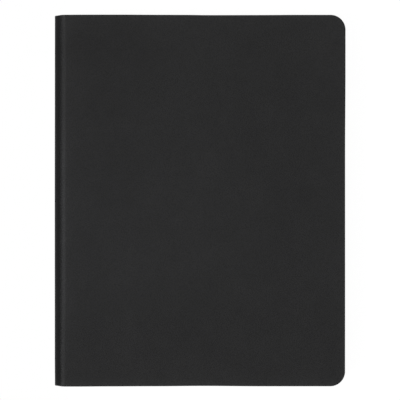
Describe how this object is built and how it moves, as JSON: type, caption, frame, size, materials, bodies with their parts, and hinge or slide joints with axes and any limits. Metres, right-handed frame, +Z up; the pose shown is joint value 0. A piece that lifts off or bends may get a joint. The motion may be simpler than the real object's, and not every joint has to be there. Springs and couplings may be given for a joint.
{
  "type": "weekly planner",
  "caption": "Case-bound letter-size weekly planner in matte black leatherette, with grooved hinges and rounded fore-edge corners.",
  "frame": {"origin": "under the middle of the back cover, on the surface that the planner lies on", "axes": "+X from the spine to the fore edge, +Y from the tail to the head, +Z up through the thickness to the front cover"},
  "size_m": [0.2228, 0.285, 0.015],
  "materials": {
    "leatherette": "matte, fine grain",
    "greyboard": "rough",
    "endpaper": "smooth, uncoated",
    "pages": "uncoated",
    "lining_cloth": "open weave",
    "band_cloth": "woven"
  },
  "bodies": {
    "book_block": {"text_block": "pages", "front_flyleaf": "endpaper", "back_flyleaf": "endpaper", "spine_lining": "lining_cloth", "head_band": "band_cloth", "tail_band": "band_cloth", "spine_card": "greyboard", "spine_leatherette": "leatherette"},
    "front_cover": {"front_board": "greyboard", "front_leatherette": "leatherette", "front_pastedown": "endpaper"},
    "back_cover": {"back_board": "greyboard", "back_leatherette": "leatherette", "back_pastedown": "endpaper"}
  },
  "joints": [
    {"name": "front_cover_hinge", "type": "hinge", "parent": "book_block", "child": "front_cover", "pos_m": [-0.1071, 0, 0.01475], "axis": [0, -1, 0], "range_deg": [0, 178]},
    {"name": "back_cover_hinge", "type": "hinge", "parent": "book_block", "child": "back_cover", "pos_m": [-0.1071, 0, 0.00025], "axis": [0, 1, 0], "range_deg": [0, 178]}
  ]
}
